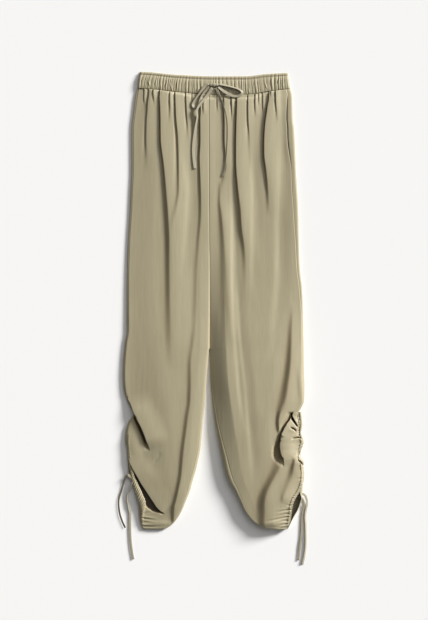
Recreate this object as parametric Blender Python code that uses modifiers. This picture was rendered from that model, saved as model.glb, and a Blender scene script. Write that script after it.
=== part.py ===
"""Wide soft trousers with an elastic waist and drawstring-ruched ankles, laid flat, front up.

The surface they lie on is z = 0, the waist is toward +Y and the wearer's left leg is toward +X.
Tables are in millimetres and angles in degrees.
"""

import math

import bpy
import numpy as np
from mathutils import Vector

MM = 0.001

# Driving dimensions
WALL = 1.2
BAND_WALL = 1.6
SEAM_GAP = 0.3
PLATEAU = 6.2
LOW_EDGE = 2.9
CENTRE_SEAM = -10.0
CROTCH_Y = -111.0
HEM_Y = -514.0
EDGE_ROUNDING = 12.0
HEM_ROUNDING = 14.0
# A fold's half width is never more than this share of its panel
FOLD_LIMIT = 0.045
# How far in from the side seam and the inside edge the bulges reach their full height
PUFF_MARGIN = 14.0
INSIDE_MARGIN = 24.0
# Where the bulges start above the hem, and over how far they come in
HEM_CLEAR = 4.0
HEM_REACH = 24.0
# Where the inside edge starts to round off near the crotch, and over how far
CROTCH_START = 20.0
CROTCH_REACH = 60.0
# Where the panels' rows begin to follow the waist seam's curve, and the row that lies on it
WAIST_PULL_START = 384.0
WAIST_ROW = 470.0
# The lower layer's section: spans across its flat, spans round its side, and least width left flat
FLAT_SPANS = 4
TURN_SPANS = 4
WRAP_CLEAR = 0.4
BAND_TOP = 5.6
BAND_WIDTH = 340.0
BAND_EDGE = 10.0
# Rows of the waistband's front, from the top down: share of the way, and share of the gathers' height
BAND_SECTIONS = ((0.0, 0.25), (0.16, 0.4), (0.4, 1.0), (0.75, 1.0), (1.0, 0.55))
BACK_BAND_GRID = (24, 2)
GATHERS = 36
GATHER_COLUMNS = 3
GATHER_HEIGHT = 1.3
# How unevenly the gathers are spaced, how often that changes, and how far they slant
GATHER_DRIFT = 0.12
GATHER_WANDER = 9.0
GATHER_SLANT = 0.1
CORD_DIAMETER = 3.0
CORD_SPACING = 2.6
CURVE_STEPS = 24
KNOT_SIZE = (22.0, 12.0, 7.0)
KNOT_GRID = (16, 8)
# The pocket's facing: y of its top and foot, half its width, and its rows
POCKET = (452.0, 298.0)
POCKET_HALF_WIDTH = 4.5
POCKET_ROWS = 5
CHANNEL_WALL = 1.0
CHANNEL_GAP = 0.5
CHANNEL_FIRST_ROW = 18
CHANNEL_LAST_ROW = 36

# Outer edges of the upper layer and of the layer below it: y, x
RIGHT_OUTER = (
    (476, -170), (456, -175), (428, -179), (384, -184), (294, -184), (249, -186), (204, -188),
    (114, -193), (24, -195), (-66, -195), (-100, -200), (-168, -204), (-201, -202), (-224, -195),
    (-242, -186), (-255, -180), (-269, -188), (-291, -197), (-314, -199), (-336, -195),
    (-370, -193), (-393, -190), (-411, -181), (-449, -170), (-494, -166), (-512, -161),
)
RIGHT_INNER = (
    (-111, -11), (-179, -15), (-224, -17), (-258, -20), (-291, -24), (-325, -29), (-359, -35),
    (-381, -40), (-404, -47), (-426, -53), (-449, -62), (-471, -71), (-494, -85), (-507, -98),
    (-514, -110),
)
LEFT_INNER = (
    (-111, -9.5), (-168, -8), (-213, -4), (-246, 0), (-280, 5), (-314, 12), (-348, 19), (-377, 25),
    (-404, 34), (-426, 47), (-449, 59), (-471, 70), (-487, 82), (-501, 97), (-507, 108),
    (-514, 128),
)
LEFT_OUTER = (
    (476, 171), (456, 176), (406, 178), (384, 183), (294, 185), (204, 190), (114, 192), (69, 194),
    (24, 199), (-44, 201), (-156, 203), (-201, 204), (-224, 203), (-242, 196), (-251, 191),
    (-264, 191), (-273, 194), (-298, 190), (-316, 201), (-341, 192), (-363, 202), (-388, 201),
    (-433, 199), (-449, 192), (-483, 177), (-512, 164),
)

# How far the back wraps onto the front beside each side seam: y, width
RIGHT_WRAP = ((476, 3), (-512, 3))
LEFT_WRAP = (
    (476, 10), (406, 12), (294, 10), (204, 9), (114, 7), (24, 6), (-44, 3), (-433, 3), (-449, 12),
    (-467, 14), (-490, 9), (-512, 3),
)

# Heights at which the fold tables give their values
STATIONS = (469, 384, 204, 1, -111, -235, -370, -512)

# Folds: half width, then at each station the share of the way in from the side seam and the depth
RIGHT_FOLDS = (
    ("side", 5, (0.13, 0.16, 0.16, 0.16, 0.16, 0.16, 0.17, 0.20), (1.5, 1.5, 0, 0, 0, 0, 0, 0)),
    ("thigh", 7, (0.30, 0.34, 0.45, 0.48, 0.50, 0.46, 0.42, 0.36), (2.6, 2.8, 3, 3, 1.5, 0, 0, 0)),
    ("hip", 6, (0.51, 0.56, 0.58, 0.62, 0.64, 0.60, 0.58, 0.58), (2.2, 2.2, 1, 0, 0, 0, 0, 0)),
    ("inner", 7, (0.85, 0.86, 0.88, 0.81, 0.79, 0.76, 0.77, 0.80), (0.5, 2, 3, 2.6, 2, 2, 2, 0)),
)
LEFT_FOLDS = (
    ("side", 7, (0.24, 0.33, 0.32, 0.25, 0.17, 0.26, 0.38, 0.40), (3, 3.2, 1.5, 0, 1, 2.4, 3, 0)),
    ("hip", 6, (0.50, 0.51, 0.51, 0.53, 0.50, 0.50, 0.56, 0.58), (2, 2, -1.2, -1.4, -1, -1, 0, 0)),
    ("front", 7, (0.66, 0.68, 0.67, 0.62, 0.66, 0.66, 0.70, 0.72), (3.2, 3.2, 3.2, 0, 0, 0, 0, 0)),
    ("inner", 8, (0.82, 0.83, 0.86, 0.85, 0.85, 0.82, 0.84, 0.86), (2.8, 2.8, 2, 2.8, 2.4, 2, 2, 0)),
)
FILLERS = {"right": (0, 1, 1, 2, 1), "left": (1, 2, 1, 1, 1)}
# The ruching channel's columns: how far in from the side seam, and the largest share of the width
CHANNEL_COLUMNS = ((7.0, 0.05), (14.0, 0.1))

# Bulges of ruched cloth: x, y, half length, half width, angle of the long axis, height
RIGHT_PUFFS = (
    ("knee", -183, -192, 60, 26, 86, 3.0),
    ("fall", -128, -300, 90, 34, 118, 5.0),
    ("lobe", -158, -372, 80, 24, 126, 6.0),
    ("first ruche", -176, -284, 34, 13, 30, 2.6),
    ("second ruche", -176, -320, 34, 13, 12, 2.6),
    ("third ruche", -168, -418, 26, 12, 10, 2.2),
    ("fourth ruche", -156, -452, 26, 12, 6, 2.2),
)
LEFT_PUFFS = (
    ("knee", 178, -192, 55, 20, 100, 5.0),
    ("upper", 174, -316, 30, 22, 70, 8.0),
    ("middle", 158, -392, 55, 24, 58, 8.0),
    ("hem", 140, -468, 42, 22, 80, 5.0),
    ("first ruche", 178, -282, 30, 13, -30, 3.0),
    ("second ruche", 176, -352, 30, 13, 24, 2.6),
    ("third ruche", 176, -430, 30, 13, -14, 3.0),
    ("fourth ruche", 158, -458, 26, 12, 16, 2.6),
)
# Steps where the upper cloth laps over the lower: its line's ends, height, and reach of the swell
RIGHT_LAPS = (
    ("upper", (-182, -250), (-138, -352), 7.0, 46),
    ("lower", (-196, -352), (-108, -486), 5.0, 34),
)
LEFT_LAPS = (
    ("upper", (137, -346), (188, -256), 6.0, 40),
    ("middle", (120, -478), (182, -344), 4.0, 30),
)
LAP_RAMP = 9.0
LAP_FADE = 0.2

# Rows of the leg panels: from y, to y, how many
ROW_SPANS = ((470, 384, 3), (384, -111, 9), (-111, -235, 5), (-235, -494, 19), (-494, HEM_Y, 2))

# The waist seam and the top of the waistband: x, y
WAIST_SEAM = (
    (-176, 477), (-132, 474), (-98, 470), (-42, 465), (0, 462.5), (80, 463), (127, 470), (176, 476),
)
BAND_TOP_LINE = ((-176, 513), (-163, 514), (-80, 507), (0, 504), (70, 504), (120, 509), (176, 512))
BAND_SIDES = (("top", -166, 167), ("header", -170, 169), ("seam", -171, 172))

# Cord routes through points chosen along them: x, y, z
KNOT_AT = (0.5, 484, 10.1)
WAIST_ROUTES = {
    "waist_loop_right": (
        (-11.8, 486, 10.1), (-20, 480, 10), (-31, 465, 10), (-41, 451, 10), (-47, 439, 10),
        (-41, 433, 10), (-33, 441, 10), (-28, 456, 10), (-20, 469, 10), (-10.2, 479.6, 10.1),
    ),
    "waist_loop_left": (
        (12.2, 486, 10.1), (26, 483, 10), (42, 479, 10), (57, 474, 10), (64, 467, 10),
        (57, 460, 10), (44, 459, 10), (30, 465, 10), (18, 473, 10), (10.6, 479.7, 10.1),
    ),
    "waist_tail_right": (
        (-3.5, 477, 10), (-16, 458, 9.4), (-36, 431, 14.2), (-37, 410, 11), (-42, 380, 8.6),
        (-46, 345, 8.2), (-45, 318, 8.2), (-42, 296, 8.2),
    ),
    "waist_tail_left": (
        (5.5, 477.4, 10), (13, 457, 9), (21, 435, 8.4), (28, 405, 8.2), (29, 365, 8.2),
        (26, 320, 8.2), (20, 279, 8.2),
    ),
}
ANKLE_ROUTES = {
    "ankle_cord_right_short": (
        (-186, -398, 9.4), (-194, -392, 8.2), (-201, -405, 3.6), (-208, -428, 1.9),
        (-214, -450, 1.9), (-212, -476, 1.9), (-206, -496, 1.9), (-199, -511, 1.9),
    ),
    "ankle_cord_right_long": (
        (-181, -408, 9.4), (-187, -424, 6.4), (-194, -440, 3), (-192, -461, 1.9),
        (-188, -480, 1.9), (-188, -510, 1.9), (-187, -540, 1.9), (-184, -565, 1.9),
        (-181, -582, 1.9),
    ),
    "ankle_cord_left_short": (
        (190, -440, 9.7), (199, -446, 7.2), (203, -462, 3), (199.5, -484, 1.9), (198.5, -506, 1.9),
        (197, -530, 1.9), (194, -550, 1.9), (190.5, -584, 1.9),
    ),
    "ankle_cord_left_long": (
        (194, -432, 9.7), (205, -438, 7.2), (210, -455, 3), (206, -482, 1.9), (207, -506, 1.9),
        (207.5, -545, 1.9), (205, -570, 1.9), (200, -593, 1.9),
    ),
}

# Colours of the cloth: red, green, blue in linear light
SATIN = (0.36, 0.32, 0.21)
SATIN_INSIDE = (0.28, 0.25, 0.16)
CORD_SATIN = (0.33, 0.29, 0.19)


def clear_scene():
    for old in list(bpy.data.objects):
        bpy.data.objects.remove(old, do_unlink=True)


def material(name, colour, roughness):
    made = bpy.data.materials.new(name)
    made.use_nodes = True
    surface = made.node_tree.nodes["Principled BSDF"]
    surface.inputs["Base Color"].default_value = (*colour, 1)
    surface.inputs["Roughness"].default_value = roughness
    return made


def smooth(rows, place):
    """Value at a place along a smooth line through (place, value) rows, without overshoot."""
    rows = sorted(rows)
    places = np.array([row[0] for row in rows], float)
    values = np.array([row[1] for row in rows], float)
    if place <= places[0]:
        return values[0]
    if place >= places[-1]:
        return values[-1]
    steps = np.diff(places)
    secants = np.diff(values) / steps
    slopes = np.zeros(len(values))
    slopes[0], slopes[-1] = secants[0], secants[-1]
    for k in range(1, len(values) - 1):
        before, after = secants[k - 1], secants[k]
        if before * after > 0:
            slopes[k] = 2 * before * after / (before + after)
    k = int(np.searchsorted(places, place)) - 1
    t = (place - places[k]) / steps[k]
    rise = values[k + 1] - values[k]
    start, end = slopes[k] * steps[k], slopes[k + 1] * steps[k]
    return (
        values[k]
        + start * t
        + (3 * rise - 2 * start - end) * t**2
        + (start + end - 2 * rise) * t**3
    )


def ramp(t):
    """0 below 0, 1 above 1, and an even S between."""
    t = min(max(t, 0.0), 1.0)
    return t * t * (3 - 2 * t)


def bell(t):
    """1 at 0, falling to 0 at 1 and -1."""
    return 0.5 + 0.5 * math.cos(math.pi * t) if abs(t) < 1 else 0.0


class Leg:
    """One leg's edges, folds, bulges and laps."""

    def __init__(self, side, outer, inner, wrap, folds, puffs, laps):
        self.side = side
        self.outward = -1 if side == "right" else 1
        self.outer = outer
        self.inner = inner
        self.wrap = wrap
        self.folds = folds
        self.puffs = puffs
        self.laps = laps

    def outline(self, y):
        return smooth(self.outer, y)

    def seam(self, y):
        """The side seam, on the front, where the back's wrap ends."""
        return self.outline(y) - self.outward * smooth(self.wrap, y)

    def inside(self, y):
        if y > CROTCH_Y:
            return CENTRE_SEAM + self.outward * SEAM_GAP / 2
        return smooth(self.inner, y)

    def fold_share(self, fold, y):
        return smooth(zip(STATIONS, fold[2]), y)

    def columns(self, y):
        """Shares of the way in from the side seam, three for each fold and some between."""
        width = abs(self.inside(y) - self.seam(y))
        lines = [0.0, *(min(place / width, cap) for place, cap in CHANNEL_COLUMNS)]
        for fold, between in zip(self.folds, FILLERS[self.side]):
            middle = self.fold_share(fold, y)
            half = min(fold[1] / width, FOLD_LIMIT)
            lines += spread(lines[-1], middle - half, between)
            lines += [middle - half, middle, middle + half]
        return lines + spread(lines[-1], 1.0, FILLERS[self.side][-1]) + [1.0]

    def height(self, x, y):
        """Top of the upper layer."""
        seam, inside = self.seam(y), self.inside(y)
        width = abs(inside - seam)
        from_seam = abs(x - seam)
        from_inside = max(abs(inside - x), 0.0)
        top = PLATEAU
        for fold in self.folds:
            middle = seam + (inside - seam) * self.fold_share(fold, y)
            half = min(fold[1], FOLD_LIMIT * width)
            top -= smooth(zip(STATIONS, fold[3]), y) * bell((x - middle) / half)
        below = ramp((CROTCH_Y + CROTCH_START - y) / CROTCH_REACH)
        room = ramp(from_seam / PUFF_MARGIN) * (1 - below + below * ramp(from_inside / INSIDE_MARGIN))
        room *= ramp((y - HEM_Y - HEM_CLEAR) / HEM_REACH)
        top += room * sum(puff_height(puff, x, y) for puff in self.puffs)
        top += room * sum(lap_height(lap, x, y) for lap in self.laps)
        low = max(below * (1 - from_inside / EDGE_ROUNDING), 1 - (y - HEM_Y) / HEM_ROUNDING, 0.0)
        round_off = 1 - math.sqrt(max(1 - min(low, 1.0) ** 2, 0.0))
        return top + (LOW_EDGE - top) * round_off


def spread(start, end, count):
    """Places evenly between two others."""
    return [start + (end - start) * (k + 1) / (count + 1) for k in range(count)]


def puff_height(puff, x, y):
    _, middle_x, middle_y, half_length, half_width, angle, height = puff
    c, s = math.cos(math.radians(angle)), math.sin(math.radians(angle))
    along = ((x - middle_x) * c + (y - middle_y) * s) / half_length
    across = (-(x - middle_x) * s + (y - middle_y) * c) / half_width
    return height * bell(along) * bell(across)


def lap_height(lap, x, y):
    """A swell that ends in a steep step along the lap's line, on the step's upper side."""
    _, start, end, height, reach = lap
    run = Vector(end) - Vector(start)
    offset = Vector((x, y)) - Vector(start)
    along = offset.dot(run) / run.length_squared
    above = (run.x * offset.y - run.y * offset.x) / run.length
    fade = ramp(along / LAP_FADE) * ramp((1 - along) / LAP_FADE)
    return height * fade * ramp(above / LAP_RAMP + 0.5) * bell(max(above, 0.0) / reach)


def row_heights():
    heights = [ROW_SPANS[0][0]]
    for start, end, count in ROW_SPANS:
        heights += [start + (end - start) * (k + 1) / count for k in range(count)]
    return heights


def at_waist(x, y, gap=SEAM_GAP / 2):
    """A row's y, pulled to the waist seam's curve near the top."""
    pull = ramp((y - WAIST_PULL_START) / (WAIST_ROW - WAIST_PULL_START))
    return y + pull * (smooth(WAIST_SEAM, x) - gap - WAIST_ROW)


def shaped_grid(name, columns, rows, place, look, wall):
    """A grid whose points are put in place by column and row, made a wall by Solidify."""
    bpy.ops.mesh.primitive_grid_add(x_subdivisions=columns, y_subdivisions=rows, size=1)
    made = bpy.context.object
    made.name = name
    made.data.name = name
    for vertex in made.data.vertices:
        column = round((vertex.co.x + 0.5) * columns)
        row = round((0.5 - vertex.co.y) * rows)
        vertex.co = Vector(place(column, row)) * MM
    thicken = made.modifiers.new("wall", "SOLIDIFY")
    thicken.thickness = wall * MM
    thicken.offset = -1
    return finish(made, look)


def finish(made, look):
    made.data.materials.append(look)
    if made.type == "MESH":
        made.data.shade_smooth()
    for old in list(made.users_collection):
        old.objects.unlink(made)
    bpy.data.collections["Parachute_pants"].objects.link(made)
    return made


def front_points(leg):
    """Rows of points of the upper layer, from the side seam in."""
    rows = []
    for y in row_heights():
        seam, inside = leg.seam(y) - leg.outward * SEAM_GAP / 2, leg.inside(y)
        xs = [seam + (inside - seam) * share for share in leg.columns(y)]
        rows.append([(x, at_waist(x, y), leg.height(x, y)) for x in xs])
    return rows


def front_panel(leg, look):
    rows = front_points(leg)
    columns = len(rows[0]) - 1

    def place(column, row):
        return rows[row][column if leg.side == "right" else columns - column]

    return shaped_grid(f"front_{leg.side}_leg", columns, len(rows) - 1, place, look, WALL)


def back_section(leg, y):
    """Points of the lower layer's outer face, from the inside edge round the side fold to the seam."""
    inside, outline, seam = leg.inside(y), leg.outline(y), leg.seam(y)
    seam += leg.outward * SEAM_GAP / 2
    radius = PLATEAU / 2
    tuck = min(radius, abs(outline - seam) - WRAP_CLEAR)
    turn = outline - leg.outward * tuck
    points = [(inside + (turn - inside) * k / FLAT_SPANS, 0.0) for k in range(FLAT_SPANS + 1)]
    for k in range(1, TURN_SPANS):
        angle = -math.pi / 2 + math.pi * k / TURN_SPANS
        points.append((turn + leg.outward * tuck * math.cos(angle), radius + radius * math.sin(angle)))
    points.append((turn, PLATEAU))
    points.append((seam, PLATEAU))
    return points


def back_panel(leg, look):
    heights = row_heights()
    rows = []
    for y in heights:
        low = min(1.0, (y - HEM_Y) / HEM_ROUNDING)
        lift = (LOW_EDGE + (PLATEAU - LOW_EDGE) * math.sqrt(max(1 - (1 - low) ** 2, 0))) / PLATEAU
        rows.append([(x, at_waist(x, y, 3 * SEAM_GAP), z * lift) for x, z in back_section(leg, y)])
    columns = len(rows[0]) - 1

    def place(column, row):
        return rows[row][column if leg.side == "right" else columns - column]

    return shaped_grid(f"back_{leg.side}_leg", columns, len(rows) - 1, place, look, WALL)


def channel(leg, look):
    """The drawstring casing on the upper layer's points beside the ruched side seam, moved out."""
    first, last, columns = CHANNEL_FIRST_ROW, CHANNEL_LAST_ROW, len(CHANNEL_COLUMNS)
    rows = front_points(leg)[first : last + 1]
    rise = CHANNEL_WALL + CHANNEL_GAP

    def place(column, row):
        x, y, z = rows[row][column if leg.side == "right" else columns - column]
        return (x, y, z + rise)

    return shaped_grid(f"ruching_channel_{leg.side}", columns, len(rows) - 1, place, look, CHANNEL_WALL)


def pocket_facing(leg, look):
    """The strip that shows in the mouth of the pocket in the side seam."""
    top, bottom = POCKET

    def place(column, row):
        y = top + (bottom - top) * row / POCKET_ROWS
        middle = leg.seam(y)
        return (middle + (column - 1) * POCKET_HALF_WIDTH, y, WALL + SEAM_GAP + CHANNEL_WALL)

    return shaped_grid(f"pocket_facing_{leg.side}", 2, POCKET_ROWS, place, look, CHANNEL_WALL)


def band_side(share, side):
    """x of one side of the waistband at a share of its height down from the top."""
    column = 1 if side < 0 else 2
    return smooth([(k / 2, row[column]) for k, row in enumerate(BAND_SIDES)], share)


def band_point(share, down):
    """x and y of a place on the waistband, from side to side and from the top down."""
    x = band_side(down, -1) + (band_side(down, 1) - band_side(down, -1)) * share
    top, seam = smooth(BAND_TOP_LINE, x), smooth(WAIST_SEAM, x) + SEAM_GAP / 2
    return x, top + (seam - top) * down


def waistband_front(look):
    columns = GATHERS * GATHER_COLUMNS

    def place(column, row):
        share = column / columns
        down, gathered = BAND_SECTIONS[row]
        x, y = band_point(share, down)
        drift = GATHER_DRIFT * math.sin(GATHER_WANDER * share) + GATHER_SLANT * down
        wave = math.sin(2 * math.pi * (share * GATHERS + drift))
        top = BAND_TOP + 0.5 * GATHER_HEIGHT * wave * gathered
        from_side = min(share, 1 - share) * BAND_WIDTH
        drop = (BAND_TOP - 2 * BAND_WALL - SEAM_GAP) * (1 - ramp(from_side / BAND_EDGE))
        return (x, y, max(top - drop, 2 * BAND_WALL + 2 * SEAM_GAP))

    return shaped_grid("waistband_front", columns, len(BAND_SECTIONS) - 1, place, look, BAND_WALL)


def waistband_back(look):
    """Faces down: its outer side lies on the surface."""
    columns, rows = BACK_BAND_GRID

    def place(column, row):
        x, y = band_point(1 - column / columns, row / rows)
        return (x, y, 0.0)

    return shaped_grid("waistband_back", columns, rows, place, look, BAND_WALL)


def cord_points(route, spacing):
    """Points at an even spacing along a smooth curve through a route's points."""
    way = [Vector(point) for point in route]
    way = [2 * way[0] - way[1], *way, 2 * way[-1] - way[-2]]
    fine = []
    for a, b, c, d in zip(way, way[1:], way[2:], way[3:]):
        for k in range(CURVE_STEPS):
            t = k / CURVE_STEPS
            fine.append(
                0.5
                * (
                    2 * b
                    + (c - a) * t
                    + (2 * a - 5 * b + 4 * c - d) * t**2
                    + (3 * b - a - 3 * c + d) * t**3
                )
            )
    fine.append(way[-2])
    lengths = np.cumsum([0.0] + [(q - p).length for p, q in zip(fine, fine[1:])])
    count = max(2, round(lengths[-1] / spacing))
    wanted = np.linspace(0, lengths[-1], count + 1)
    table = np.array(fine)
    return [tuple(np.interp(s, lengths, table[:, axis]) for axis in range(3)) for s in wanted]


def cord(name, route, look):
    """A plain tube along a cord's route."""
    points = cord_points(route, CORD_SPACING * CORD_DIAMETER)
    curve = bpy.data.curves.new(name, "CURVE")
    curve.dimensions = "3D"
    curve.bevel_depth = CORD_DIAMETER / 2 * MM
    curve.bevel_resolution = 2
    curve.use_fill_caps = True
    spline = curve.splines.new("POLY")
    spline.points.add(len(points) - 1)
    for point, place in zip(spline.points, points):
        point.co = (*(Vector(place) * MM), 1)
    made = bpy.data.objects.new(name, curve)
    bpy.context.scene.collection.objects.link(made)
    return finish(made, look)


def waist_knot(look):
    segments, rings = KNOT_GRID
    bpy.ops.mesh.primitive_uv_sphere_add(segments=segments, ring_count=rings, radius=0.5)
    made = bpy.context.object
    made.name = "waist_knot"
    for vertex in made.data.vertices:
        vertex.co = Vector([p * size * MM for p, size in zip(vertex.co, KNOT_SIZE)])
    made.location = Vector(KNOT_AT) * MM
    return finish(made, look)


def build():
    clear_scene()
    made = bpy.data.collections.new("Parachute_pants")
    bpy.context.scene.collection.children.link(made)
    satin = material("Satin", SATIN, 0.5)
    inside = material("Satin inside", SATIN_INSIDE, 0.6)
    cords = material("Satin cord", CORD_SATIN, 0.5)
    legs = (
        Leg("right", RIGHT_OUTER, RIGHT_INNER, RIGHT_WRAP, RIGHT_FOLDS, RIGHT_PUFFS, RIGHT_LAPS),
        Leg("left", LEFT_OUTER, LEFT_INNER, LEFT_WRAP, LEFT_FOLDS, LEFT_PUFFS, LEFT_LAPS),
    )
    for leg in legs:
        front_panel(leg, satin)
        back_panel(leg, satin)
        channel(leg, satin)
    pocket_facing(legs[1], inside)
    waistband_front(satin)
    waistband_back(satin)
    waist_knot(cords)
    for name, route in {**WAIST_ROUTES, **ANKLE_ROUTES}.items():
        cord(name, route, cords)


build()
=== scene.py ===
"""Looks for a pair of soft satin parachute pants, laid flat, front up.

Tables are in millimetres in the model's own frame: x toward the wearer's left leg, which is the
viewer's right, y toward the waist, z up from the surface. Left and right are the wearer's.
"""

import math

import bpy
import numpy as np
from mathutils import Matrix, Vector


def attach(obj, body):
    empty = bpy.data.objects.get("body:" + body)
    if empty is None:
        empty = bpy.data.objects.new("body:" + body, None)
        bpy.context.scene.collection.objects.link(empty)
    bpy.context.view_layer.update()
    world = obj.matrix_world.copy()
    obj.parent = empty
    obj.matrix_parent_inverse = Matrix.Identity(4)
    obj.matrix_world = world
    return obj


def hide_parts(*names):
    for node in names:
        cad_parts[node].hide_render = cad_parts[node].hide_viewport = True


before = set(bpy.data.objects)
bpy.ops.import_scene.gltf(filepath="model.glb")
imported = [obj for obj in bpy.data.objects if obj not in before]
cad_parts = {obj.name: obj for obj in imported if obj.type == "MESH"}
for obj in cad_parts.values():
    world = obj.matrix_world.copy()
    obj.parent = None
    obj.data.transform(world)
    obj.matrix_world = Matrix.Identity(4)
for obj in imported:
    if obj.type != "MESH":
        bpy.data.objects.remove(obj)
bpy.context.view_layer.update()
bpy.ops.object.select_all(action="DESELECT")

MM = 0.001

# The photograph's view: straight down on 1395 mm of the surface from top to bottom
VIEW_CENTRE = (0.6, -21.4)
VIEW_LENGTH = 1395.0
CAMERA_HEIGHT = 4200.0
SENSOR = 36.0

# The paper under the cloth: its size, and how far below the cloth it lies
PAPER_SIZE = 12000.0
PAPER_DROP = 0.4

# Each lamp's name, azimuth, elevation, spread and strength, and how much light falls from all round
LIGHTS = (("Key", 33.0, 20.0, 16.0, 6.6), ("Fill", 50.0, 52.0, 46.0, 0.68))
AMBIENT = 0.155

# Thickness of the legs' and channels' cloth, of the waistband's front and back, and of the pocket's
# facing
CLOTH = 0.7
BAND_CLOTH = 1.0
BAND_BACK_CLOTH = 1.3
FACING_CLOTH = 0.6
# How far the lowest cloth lies off the surface, and the lowest that a leg's upper side lies
CLEAR = 0.02
LOW = 1.9
# The seam where the fronts meet, and how far the right one goes on under the left
CENTRE_SEAM = -10.0
LAP = 1.6
# How far in and down the backs' edges are tucked at their seams
TUCK_IN = 1.6
TUCK_DOWN = 1.0
CROTCH_Y = -111.0
HEM_Y = -514.0
# The fronts' top row, which is drawn onto the waist seam's curve, and where that pull begins
WAIST_ROW = 470.0
PULL_FROM = 384.0
# Columns of a front, and its rows: from, to, spacing
ACROSS = 142
ROW_SPANS = ((WAIST_ROW, 380, 2.1), (380, -60, 6.6), (-60, -210, 3.2), (-210, HEM_Y, 1.75))

# Outer and inner edges of each leg: y, x
RIGHT_OUTER = (
    (476, -170), (456, -175), (428, -179), (384, -184), (294, -184), (249, -186), (204, -188),
    (114, -193), (24, -195), (-66, -195), (-100, -200), (-168, -204), (-201, -202), (-224, -195),
    (-242, -186), (-255, -180), (-264, -185), (-272, -191), (-291, -197), (-314, -199),
    (-336, -195), (-370, -193), (-393, -190), (-411, -181), (-449, -170), (-494, -166),
    (-512, -161),
)
RIGHT_INNER = (
    (-111, -11), (-179, -16), (-224, -19), (-258, -23), (-291, -26), (-325, -29), (-359, -35),
    (-381, -40), (-404, -47), (-426, -53), (-449, -62), (-471, -71), (-494, -85), (-507, -98),
    (-514, -110),
)
LEFT_INNER = (
    (-111, -9.5), (-168, -8), (-213, -4), (-246, 0), (-280, 5), (-314, 12), (-348, 19), (-377, 25),
    (-404, 34), (-426, 47), (-449, 59), (-471, 70), (-487, 82), (-501, 97), (-507, 108),
    (-514, 128),
)
LEFT_OUTER = (
    (476, 171), (456, 176), (406, 178), (384, 181), (294, 185), (204, 190), (114, 192), (69, 194),
    (24, 199), (-44, 201), (-156, 203), (-201, 204), (-224, 203), (-242, 196), (-251, 191),
    (-264, 191), (-273, 194), (-298, 190), (-316, 201), (-341, 191), (-363, 202), (-388, 201),
    (-433, 199), (-449, 195), (-467, 189), (-489, 177), (-512, 166),
)
# The outer edges without their waves, from which the outer slopes are measured: y, x
RIGHT_MEAN = (
    (476, -170), (384, -183), (204, -189), (24, -195), (-168, -202), (-336, -192), (-411, -181),
    (-449, -170), (-512, -161),
)
LEFT_MEAN = (
    (476, 171), (384, 181), (204, 190), (24, 198), (-156, 202), (-433, 198), (-512, 168),
)
# How far the back comes round onto the front at the side seams and the inside legs: y, width
RIGHT_WRAP = ((476, 3), (-512, 3))
LEFT_WRAP = (
    (476, 9), (440, 10.5), (406, 12), (361, 14), (305, 10.5), (249, 12), (181, 10), (114, 7),
    (24, 6), (-44, 3), (-420, 3), (-426, 5.5), (-437, 13.5), (-449, 18), (-460, 18), (-476, 12.5),
    (-494, 6), (-512, 1),
)
RIGHT_INSEAM = ((-111, 0.6), (-190, 2.6), (-300, 5), (-381, 7), (-440, 6), (-500, 3))
LEFT_INSEAM = ((-111, 0.6), (-201, 3), (-314, 7), (-381, 10.5), (-426, 8), (-449, 5), (-500, 3))
# Where the back stays open from the front beside the left hem: y, share
LEFT_VENT = ((-425, 0), (-445, 1), (-512, 1))
RIGHT_VENT = ((-425, 0), (-512, 0))

# Each leg's cross-section down its length: y, then the heights of the inner edge, of the shoulder
# inside it, of the crest, of the outer shoulder and of the outer edge
RIGHT_SECTIONS = (
    (476, 6.2, 6.2, 6.4, 4.2, 3.6), (150, 6.2, 6.4, 6.6, 4.4, 3.2), (60, 6.4, 6.6, 7.2, 4.8, 3.2),
    (-20, 7, 7.6, 8.6, 5.6, 3.4), (-80, 8, 9.2, 10.6, 6.2, 3.6), (-111, 8.4, 10.2, 11.8, 6.4, 3.8),
    (-160, 9, 11.8, 13.4, 6.8, 3.8), (-220, 9.6, 13.6, 15.2, 7.2, 3.8),
    (-300, 10, 15.2, 16.8, 7.6, 4), (-350, 10, 15.8, 17.4, 8.4, 5), (-390, 9.6, 15.6, 17.2, 9.4, 7),
    (-430, 9, 14.2, 15.6, 8.6, 6.8), (-460, 8.4, 11.4, 12.6, 7, 5.8), (-475, 8, 9.4, 10.4, 6.2, 5),
    (-490, 7, 7.8, 8.6, 5.4, 4.4), (-500, 6.4, 7.2, 7.8, 5, 4), (-514, 5, 6, 6.4, 4.4, 3.4),
)
LEFT_SECTIONS = (
    (476, 6.2, 6.2, 6.4, 6.2, 4.2), (150, 6, 6.4, 7, 6.6, 4.4), (60, 5.4, 5.8, 9, 7.2, 4.8),
    (-20, 4.2, 5, 12.4, 9, 6.4), (-80, 3, 4, 16, 10.6, 8), (-111, 2.8, 4, 17.4, 11.6, 9),
    (-150, 3.4, 4.6, 19.6, 12.6, 10), (-200, 5, 6, 21.6, 13, 10.6),
    (-258, 8.6, 10.2, 22.6, 13.4, 11.4), (-300, 11, 13, 22.2, 13.8, 11.8),
    (-350, 13, 15, 21.2, 14.4, 12.2), (-400, 14.4, 16, 19.8, 14.8, 12),
    (-443, 15.6, 16.8, 18.6, 14.6, 11), (-460, 16, 17, 18.4, 14.2, 10.4),
    (-495, 16.8, 17.4, 18, 12.6, 8), (-507, 16.4, 17, 17.4, 10.6, 6.6),
    (-514, 15.2, 15.8, 16.2, 9.2, 5.4),
)
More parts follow.
